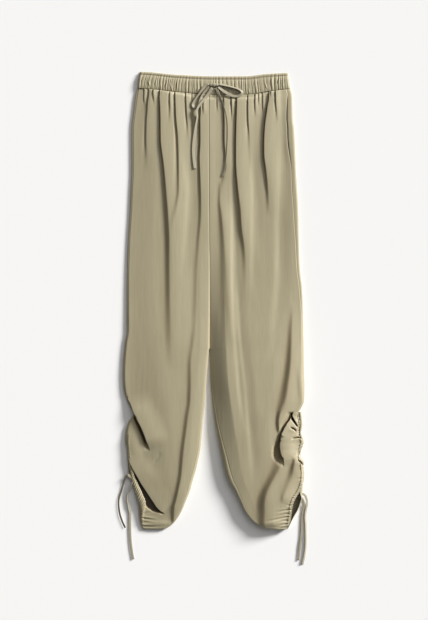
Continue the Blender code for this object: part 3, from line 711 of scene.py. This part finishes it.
def waist_gathers(x, y):
    """Short uneven gathers that run down from the waist seam."""
    right, left = (end[-1] for end in BAND_ENDS)
    share = np.clip((x - right) / (left - right), 0, 1)
    number, across = gather_place(share, 1.0 + 0 * share)
    length = GATHER_LENGTHS[number] * (1 - 0.4 * np.abs(2 * across - 1))
    fade = 1 - ramp((WAIST_ROW - y) / length)
    return GATHER_HEIGHTS[number] * fade * (np.sin(np.pi * across) ** 0.8 - 0.4)


RIGHT = Leg("right", (RIGHT_OUTER, RIGHT_INNER, RIGHT_MEAN), (RIGHT_WRAP, RIGHT_INSEAM), RIGHT_VENT,
            RIGHT_SECTIONS, RIGHT_WIDTHS, RIGHT_FOLDS, RIGHT_PUFFS, RIGHT_SLITS, RIGHT_GATHERS)
LEFT = Leg("left", (LEFT_OUTER, LEFT_INNER, LEFT_MEAN), (LEFT_WRAP, LEFT_INSEAM), LEFT_VENT,
           LEFT_SECTIONS, LEFT_WIDTHS, LEFT_FOLDS, LEFT_PUFFS, LEFT_SLITS, LEFT_GATHERS)


def row_places():
    """y of the rows of a leg's sheets, closer together where the cloth is busier."""
    places = [float(ROW_SPANS[0][0])]
    for start, end, spacing in ROW_SPANS:
        count = round((start - end) / spacing)
        places += [start + (end - start) * (k + 1) / count for k in range(count)]
    return np.array(places)


def at_waist(x, y):
    """A row's y, pulled to the waist seam's curve near the top."""
    pull = ramp((y - PULL_FROM) / (WAIST_ROW - PULL_FROM))
    return y + pull * (smooth(WAIST_SEAM, x) - 0.2 - WAIST_ROW)


# Pieces

def grid(places):
    """A grid with its corners on rows of points in millimetres, and each corner's row and column."""
    rows, columns, _ = places.shape
    bpy.ops.mesh.primitive_grid_add(x_subdivisions=columns - 1, y_subdivisions=rows - 1, size=1)
    piece = bpy.context.object
    corners = np.empty(rows * columns * 3)
    piece.data.vertices.foreach_get("co", corners)
    corners = corners.reshape(-1, 3)
    down = np.round((0.5 - corners[:, 1]) * (rows - 1)).astype(int)
    across = np.round((corners[:, 0] + 0.5) * (columns - 1)).astype(int)
    piece.data.vertices.foreach_set("co", (places[down, across] * MM).ravel())
    piece.data.update()
    return piece, down, across


def sheet_piece(name, places, wall, look, painted_shade=None):
    """A sheet through rows of points, given its thickness behind its face."""
    piece, down, across = grid(places)
    # Painted shade for folds and slits, kept on each corner for the cloth's colour to read.
    if painted_shade is not None:
        deep = piece.data.attributes.new("painted_shade", "FLOAT", "POINT")
        deep.data.foreach_set("value", painted_shade[down, across].astype(np.float32))
    thicken = piece.modifiers.new("wall", "SOLIDIFY")
    thicken.thickness = wall * MM
    thicken.offset = -1
    bpy.ops.object.modifier_apply(modifier=thicken.name)
    return finished(piece, name, look)


def tube_piece(name, rings, look):
    """A closed tube through rings of points, with its two ends filled."""
    piece, *_ = grid(np.concatenate([rings, rings[:, :1]], axis=1))
    bpy.ops.object.mode_set(mode="EDIT")
    bpy.ops.mesh.select_all(action="SELECT")
    bpy.ops.mesh.remove_doubles(threshold=0.000001)
    bpy.ops.mesh.fill_holes(sides=0)
    bpy.ops.mesh.normals_make_consistent(inside=False)
    bpy.ops.object.mode_set(mode="OBJECT")
    return finished(piece, name, look)


def finished(piece, name, look):
    """Names a piece, dresses it, and puts it on the one body."""
    piece.name = name
    piece.data.name = name
    piece.data.materials.clear()
    piece.data.materials.append(look)
    piece.data.shade_smooth()
    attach(piece, "root")
    piece.select_set(False)
    return piece


def front_sheet(leg, look):
    """The upper sheet. The right one goes on under the left along the centre seam."""
    rows = row_places()[:, None]
    x = leg.places_across(rows)
    xs, ys, zs, painted_shade = leg.surface(x, rows + 0 * x)
    if leg.side == "right":
        joined = rows > CROTCH_Y
        below = LEFT.surface(CENTRE_SEAM + LAP + 0 * rows, rows)[2] - 0.5
        behind = zs[:, -1:] - CLOTH - 0.1
        foot = np.where(joined, np.minimum(below, behind), behind)
        xs = np.hstack([xs, xs[:, -1:] + 0.4, xs[:, -1:] + np.where(joined, LAP, 0.2)])
        ys = np.hstack([ys, ys[:, -1:], ys[:, -1:]])
        zs = np.hstack([zs, (zs[:, -1:] + foot) / 2, foot])
        painted_shade = np.hstack([painted_shade, 0 * foot, 0 * foot])
    else:
        opened = smooth(POCKET, rows) * (1 - ramp((leg.seam(rows) - x) / 16))
        xs = xs - opened
        zs = zs + 0.3 * opened
    places = np.stack([xs, at_waist(xs, ys), zs], axis=2)
    if leg.side == "left":
        places, painted_shade = places[:, ::-1], painted_shade[:, ::-1]
    piece = sheet_piece(f"{leg.side}_front", places, CLOTH, look, painted_shade=painted_shade)
    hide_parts(f"front_{leg.side}_leg")


def back_sheet(leg, look):
    """The lower sheet: from the inside leg seam under the leg and round to the side seam."""
    rows = row_places()[::2][:, None]
    outward = leg.outward
    inner, outer = leg.inner_edge(rows), leg.outline(rows)
    inseam, seam = leg.inseam(rows), leg.seam(rows)
    closed = ramp((CROTCH_Y + 8 - rows) / 14)
    turn = np.linspace(0, np.pi / 2, 7)[None, 1:]

    def over(start, end, count):
        x = start + (end - start) * np.linspace(0, 1, count)[None, :]
        return leg.surface(x, rows + 0 * x)[:3]

    def under(edge, height, inward):
        roll = np.maximum(0.9 * height, 1.0)
        return edge + inward * roll * (1 - np.cos(turn)), height * (1 - np.sin(turn))

    top_x, top_y, top_z = over(inseam, inner, 4)
    top_x = top_x + outward * (1 - closed) * np.linspace(0, 0.3, 4)[None, :]
    edge_height = top_z[:, -1:] * closed
    roll_x, roll_z = under(top_x[:, -1:], edge_height, outward)
    far_x, far_y, far_z = over(seam, outer, 6)
    vent = smooth(leg.vent, rows)
    far_x = far_x + (far_x[:, -1:] - far_x) * vent
    far_roll_x, far_roll_z = under(outer, far_z[:, -1:], -outward)
    flat_from, flat_to = roll_x[:, -1:], far_roll_x[:, -1:]
    flat_x = flat_from + (flat_to - flat_from) * np.linspace(0, 1, 24)[None, 1:-1]
    xs = np.hstack([
        top_x[:, :1] + outward * (TUCK_IN * closed - 0.1 * (1 - closed)), top_x, roll_x, flat_x,
        far_roll_x[:, ::-1], far_x[:, ::-1], far_x[:, :1] - outward * TUCK_IN * (1 - vent),
    ])
    zs = np.hstack([
        (top_z[:, :1] - TUCK_DOWN) * closed, top_z * closed, roll_z, 0 * flat_x,
        far_roll_z[:, ::-1], far_z[:, ::-1] - 0.1, far_z[:, :1] - TUCK_DOWN,
    ])
    flat_y = rows + 0 * np.hstack([roll_x, flat_x, far_roll_x])
    ys = np.hstack([top_y[:, :1], top_y, flat_y, far_y[:, ::-1], far_y[:, :1]])
    places = np.stack([xs, at_waist(xs, ys), zs + CLEAR], axis=2)
    if leg.side == "left":
        places = places[:, ::-1]
    piece = sheet_piece(f"{leg.side}_back", places, CLOTH, look)
    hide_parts(f"back_{leg.side}_leg")


def band_place(share, down):
    """x and y of places on the waistband, from side to side and from the top down."""
    right, left = (three_way(end, down) for end in BAND_ENDS)
    x = right + (left - right) * share
    top, seam = smooth(BAND_TOP_LINE, x), smooth(WAIST_SEAM, x) + 0.1
    return x, top + (seam - top) * down


def band_surface(share, down):
    """Where the gathered band's face lies, for shares of the way across and down it."""
    x, y = band_place(share, down)
    number, across = gather_place(share, down)
    ridge = np.sin(np.pi * across) ** 0.75 - 0.55
    ridge = ridge * GATHER_HEIGHTS[number] * 2.0 * smooth(column(BAND_SECTIONS, 2), down)
    for along, depth, crease_x, crease_down, slant in BAND_CREASES:
        away = (x - crease_x) - slant * (down - crease_down) * BAND_HEIGHT
        crease = bell((away - 2) / 3) - bell(away / 1.8)
        ridge = ridge + depth * bell((down - crease_down) / along) * crease
    top = BAND_TOP + smooth(column(BAND_SECTIONS, 1), down) + ridge
    from_side = np.minimum(share, 1 - share) * BAND_WIDTH
    top = top + (2.6 - top) * (1 - rounded(from_side / 5))
    return x, y + 0.5 * ridge * (1 - ramp(down / 0.12)), top


def waistband(look):
    """The gathered front of the band, and its back, which lies flat under it."""
    share = np.linspace(0, 1, BAND_COLUMNS + 1)[None, :]
    down = np.linspace(0, 1, BAND_ROWS + 1)[:, None]
    places = np.stack(band_surface(share + 0 * down, down + 0 * share), axis=2)
    piece = sheet_piece("waistband_gathered", places, BAND_CLOTH, look)
    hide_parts("waistband_front")
    flip = 1 - np.linspace(0, 1, 121)[None, :]
    down = np.linspace(0, 1, 7)[:, None]
    x, y = band_place(flip, down + 0 * flip)
    places = np.stack([x, y, CLEAR + 0 * x], axis=2)
    under = sheet_piece("waistband_under", places, BAND_BACK_CLOTH, look)
    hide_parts("waistband_back")


def stitches(name, places, look):
    """A row of machine stitches: one thread that dips into the cloth between its stitches."""
    walked = distances(places)
    stops = np.arange(0, walked[-1], STITCH / 7)
    points = points_at(stops, walked, places)
    points[:, 2] += 0.42 * np.abs(np.sin(np.pi * stops / STITCH)) ** 0.5 - 0.3
    tangent = np.gradient(points, axis=0)
    tangent[:, 2] = 0
    across = np.cross(unit(tangent), [0, 0, 1.0])
    turn = np.linspace(0, 2 * np.pi, 5, endpoint=False)
    rings = points[:, None] + THREAD / 2 * np.cos(turn)[None, :, None] * across[:, None]
    rings[:, :, 2] += THREAD / 2 * np.sin(turn)[None, :]
    return tube_piece(name, rings, look)


def seams(look):
    """The rows of stitches that show: under the header, along the waist seam and above the hems."""
    share = np.linspace(0.006, 0.994, 1600)
    for name, down in BAND_STITCHES:
        stitches(name, np.stack(band_surface(share, down + 0 * share), axis=1), look)
    for leg in (RIGHT, LEFT):
        y = np.full(500, HEM_Y + HEM_STITCHES)
        start = leg.seam(y[0]) - leg.outward * HEM_ENDS[0]
        end = leg.inseam(y[0]) + leg.outward * HEM_ENDS[1]
        x = np.linspace(start, end, len(y))
        stitches(f"{leg.side}_hem_stitches", np.stack(leg.surface(x, y)[:3], axis=1), look)


def channel(side, rows, look):
    """A side seam's narrow channel, ruched along the cord inside, with scalloped edges."""
    points, length = route_points([row[:3] for row in rows], 0.6)
    tangent = unit(np.gradient(points[:, :2], axis=0))
    across = np.linspace(-1, 1, 13)[None, :]
    width = smooth([(-row[1], row[3]) for row in rows], -points[:, 1])[:, None]
    pleats = round(length / RUCHE)
    edges = np.concatenate([[0], np.cumsum(RANDOM.uniform(0.5, 1.5, pleats))])
    share = np.linspace(0, 1, len(points))[:, None] + 0.4 * width / length * across
    place = np.interp(share, edges / edges[-1], np.arange(pleats + 1))
    ridge = np.abs(np.sin(np.pi * place)) ** 0.6 * three_way((0.8, 1.2, 0.8), place % 4 / 4)
    out = across * width / 2 * (0.8 + 0.2 * ridge)
    height = points[:, 2:] + (0.2 + 2.6 * ridge) * (1 - 0.4 * across**2) - 1.4 * across**2
    xs = points[:, :1] - tangent[:, 1:] * out
    ys = points[:, 1:2] + tangent[:, :1] * out
    leg = RIGHT if side == "right" else LEFT
    height = np.maximum(height, leg.surface(xs, ys)[2] + 0.3 + 1.2 * ridge)
    piece = sheet_piece(f"{side}_channel", np.stack([xs, ys, height], axis=2), CLOTH, look)
    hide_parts(f"ruching_channel_{side}")
    area = float(width.mean()) * MM * length * MM * 1.2


def pocket_facing(look):
    """What shows down the mouth of the pocket."""
    y = np.linspace(POCKET[0][0] - 3, POCKET[-1][0] + 2, 40)[:, None]
    x = LEFT.seam(y) + np.linspace(*FACING_SPAN, 7)[None, :]
    places = np.stack([x, y + 0 * x, FACING_Z + 0 * x], axis=2)
    piece = sheet_piece("pocket_facing", places, FACING_CLOTH, look)
    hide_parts("pocket_facing_left")


# Drawstrings

def ribbon_section(width, thickness):
    """A flat tube's section with a shallow crease along the middle of each face."""
    angles = np.linspace(0, 2 * np.pi, 16, endpoint=False)
    across = np.sign(np.cos(angles)) * np.abs(np.cos(angles)) ** 0.6 * width / 2
    up = np.sign(np.sin(angles)) * np.abs(np.sin(angles)) ** 0.8 * thickness / 2
    up = up * (1 - 0.45 * bell(across / (0.3 * width)))
    return across, up


def ribbon(name, size, route, rolls, look):
    """A ribbon that rolls as it goes, lifted where it would go into the surface."""
    points, length = route_points(route, 1.5)
    share = np.linspace(0, 1, len(points))
    tangent = unit(np.gradient(points, axis=0))
    side = unit(np.cross(tangent, [0, 0, 1.0]))
    upward = np.cross(side, tangent)
    roll = np.radians(smooth(rolls, share))[:, None]
    wide = side * np.cos(roll) + upward * np.sin(roll)
    thin = upward * np.cos(roll) - side * np.sin(roll)
    across, up = ribbon_section(*size)
    rings = points[:, None] + wide[:, None] * across[:, None] + thin[:, None] * up[:, None]
    lift = np.maximum(0.25 - rings[:, :, 2].min(axis=1), 0)
    rings[:, :, 2] += lift[:, None]
    points[:, 2] += lift
    piece = tube_piece(name, rings, look)
    return piece, points, length


def drawstrings(look):
    """The bow's loops and tails, and the ankle drawstrings' free ends."""
    for name, size, route, rolls, far_end in CORDS:
        piece, points, length = ribbon(name + "_ribbon", size, route, rolls, look)
        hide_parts(name)


def knot(look):
    """The bow's knot: a short fat roll of ribbon with its turns pressed into it."""
    share = np.linspace(0, 1, 33)[:, None]
    turn = np.linspace(0, 2 * np.pi, 28, endpoint=False)[None, :]
    swell = np.sin(np.pi * np.clip(share, 0.02, 0.98)) ** 0.4
    turns = 0.82 + 0.18 * np.abs(np.sin(3 * np.pi * share + 0.6 * np.sin(turn)))
    length, half_height, half_depth = KNOT_SIZE
    along = (share - 0.5) * length
    x = KNOT_AT[0] + along + 1.2 * np.sin(turn)
    y = KNOT_AT[1] + half_height * swell * turns * np.cos(turn) - 0.004 * along**2
    z = KNOT_AT[2] + half_depth * swell * turns * np.sin(turn)
    piece = tube_piece("bow_knot", np.stack([x, y, z], axis=2), look)
    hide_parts("waist_knot")


# Finishes

def linear(hex_colour):
    """An sRGB hex colour in linear light."""
    parts = [int(hex_colour[k : k + 2], 16) / 255 for k in (1, 3, 5)]
    return tuple(c / 12.92 if c <= 0.04045 else ((c + 0.055) / 1.055) ** 2.4 for c in parts) + (1,)


def add(tree, kind, inputs, **settings):
    """A shader node with its settings, and its inputs' values or what feeds them."""
    node = tree.nodes.new("ShaderNode" + kind)
    for key, value in settings.items():
        setattr(node, key, value)
    for key, value in inputs.items():
        if isinstance(value, bpy.types.NodeSocket):
            tree.links.new(value, node.inputs[key])
        else:
            node.inputs[key].default_value = value
    return node


def new_look(name, values):
    """A material with some of its surface's values."""
    look = bpy.data.materials.new(name)
    look.use_nodes = True
    surface = look.node_tree.nodes["Principled BSDF"]
    for key, value in values.items():
        surface.inputs[key].default_value = value
    return look, surface


def slub_tone_and_painted_shade(tree, slub, base):
    """The cloth's colour by its slubs, with painted shade: warmer and darker at a fold's foot and
    darkest down in a slit.
    """
    darker, lighter = ((*(c * share for c in base), 1) for share in (0.9, 1.1))
    tone = add(tree, "Mix", {"Factor": slub, "A": darker, "B": lighter}, data_type="RGBA")
    # Painted shade: the amount stored on each corner picks a darker, warmer share of the colour.
    painted_shade = add(tree, "Attribute", {}, attribute_name="painted_shade")
    shade = add(tree, "ValToRGB", {"Fac": painted_shade.outputs["Fac"]})
    shade.color_ramp.elements[0].color = (1, 1, 1, 1)
    shade.color_ramp.elements[1].color = SLIT_PAINTED_SHADE
    shade.color_ramp.elements.new(0.5).color = FOLD_PAINTED_SHADE
    deep = add(tree, "Mix", {"Factor": 1, "A": tone.outputs["Result"], "B": shade.outputs["Color"]},
               data_type="RGBA", blend_type="MULTIPLY")
    return deep.outputs["Result"]


def uneven_shine(tree, slub, place, roughness):
    """Roughness by the slubs and by the patches where the cloth is handled."""
    handled = add(tree, "TexNoise", {"Vector": place, "Scale": 1 / (HANDLED * MM), "Detail": 2.0})
    both = add(tree, "Math", {0: slub, 1: handled.outputs["Fac"]}, operation="ADD")
    shine = add(tree, "MapRange", {
        "Value": both.outputs["Value"], "From Min": 0.6, "From Max": 1.4,
        "To Min": roughness - 0.06, "To Max": roughness + 0.06,
    })
    return shine.outputs["Result"]


def relief(tree, along, place):
    """The weave's rib, and soft crumples over it."""
    # The real rib is 0.3 mm, too fine to show, so it is drawn every 3.4 mm. Diagonal bands repeat
    # each time x and y together grow by a tenth of a turn over the scale
    rib = add(tree, "TexWave", {
        "Vector": place, "Scale": 0.2 * math.pi / (math.sqrt(2) * RIB * MM), "Distortion": 0.4,
        "Detail": 1.0,
    }, wave_type="BANDS", bands_direction="DIAGONAL")
    weave = add(tree, "Bump", {"Height": rib.outputs["Fac"], "Strength": 0.12, "Distance": 0.0002})
    crumple = add(tree, "TexNoise", {"Vector": along, "Scale": 1 / (CRUMPLE * MM), "Detail": 4.0})
    bump = add(tree, "Bump", {
        "Height": crumple.outputs["Fac"], "Normal": weave.outputs["Normal"],
        "Strength": 0.3, "Distance": 0.001,
    })
    return bump.outputs["Normal"]


def satin(name, hex_colour, roughness=0.55):
    """Woven satin: long floating threads with slubs, a fine rib and soft crumples."""
    look, surface = new_look(name, {
        "Specular IOR Level": 0.55, "Sheen Weight": 0.12, "Sheen Roughness": 0.4,
    })
    tree = look.node_tree
    place = add(tree, "TexCoord", {}).outputs["Object"]
    along = add(tree, "Mapping", {"Vector": place, "Scale": (1.0, 0.06, 1.0)}).outputs["Vector"]
    # Real threads are 0.1 mm apart, too fine to show, so their slubs are drawn 3 mm wide, 50 mm long
    noise = add(tree, "TexNoise", {"Vector": along, "Scale": 1 / (SLUB * MM), "Detail": 3.0})
    slub = noise.outputs["Fac"]
    # Base colour: slub tone, with painted shade where a piece carries it.
    tree.links.new(slub_tone_and_painted_shade(tree, slub, linear(hex_colour)[:3]), surface.inputs["Base Color"])
    tree.links.new(uneven_shine(tree, slub, place, roughness), surface.inputs["Roughness"])
    tree.links.new(relief(tree, along, place), surface.inputs["Normal"])
    return look


def paper():
    """Plain pale paper under the cloth."""
    return new_look("Matt pale paper", {
        "Base Color": linear(PAPER_HEX), "Roughness": 0.9, "Specular IOR Level": 0.2,
    })[0]


# Stage

def stage():
    """The paper, the lamps and the light from all round."""
    bpy.ops.mesh.primitive_plane_add(size=PAPER_SIZE * MM, location=(0, 0, -PAPER_DROP * MM))
    floor = bpy.context.object
    floor.name = "floor"
    floor.data.materials.append(paper())
    floor.select_set(False)
    scene = bpy.context.scene
    scene.view_settings.view_transform = "Standard"
    world = bpy.data.worlds.new("Studio")
    scene.world = world
    world.use_nodes = True
    back = world.node_tree.nodes["Background"]
    back.inputs["Color"].default_value = (1.0, 1.0, 1.0, 1)
    back.inputs["Strength"].default_value = AMBIENT
    for name, azimuth, elevation, spread, strength in LIGHTS:
        light = bpy.data.lights.new(name, "SUN")
        light.angle = math.radians(spread)
        light.energy = strength
        lamp = bpy.data.objects.new(name, light)
        scene.collection.objects.link(lamp)
        up, turn = math.radians(elevation), math.radians(azimuth)
        toward = Vector((math.cos(up) * math.cos(turn), math.cos(up) * math.sin(turn), math.sin(up)))
        lamp.location = toward * 3
        lamp.rotation_euler = (-toward).to_track_quat("-Z", "Y").to_euler()


def camera():
    """The camera, straight above."""
    seen = bpy.data.cameras.new("Above")
    seen.sensor_width = SENSOR
    seen.lens = SENSOR * CAMERA_HEIGHT / VIEW_LENGTH
    seen.clip_end = 50
    made = bpy.data.objects.new("Above", seen)
    bpy.context.scene.collection.objects.link(made)
    made.location = (VIEW_CENTRE[0] * MM, VIEW_CENTRE[1] * MM, CAMERA_HEIGHT * MM)
    bpy.context.scene.camera = made


camera()
stage()
cord_look = satin("Satin ribbon", CORD_HEX)
drawstrings(cord_look)
knot(cord_look)
cloth = satin("Woven satin", CLOTH_HEX)
inside = satin("Satin wrong side", INSIDE_HEX, 0.75)
for leg in (RIGHT, LEFT):
    front_sheet(leg, cloth)
    back_sheet(leg, cloth)
waistband(cloth)
seams(satin("Sewing thread", THREAD_HEX, 0.6))
pocket_facing(inside)
channel("right", RIGHT_CHANNEL, cloth)
channel("left", LEFT_CHANNEL, cloth)
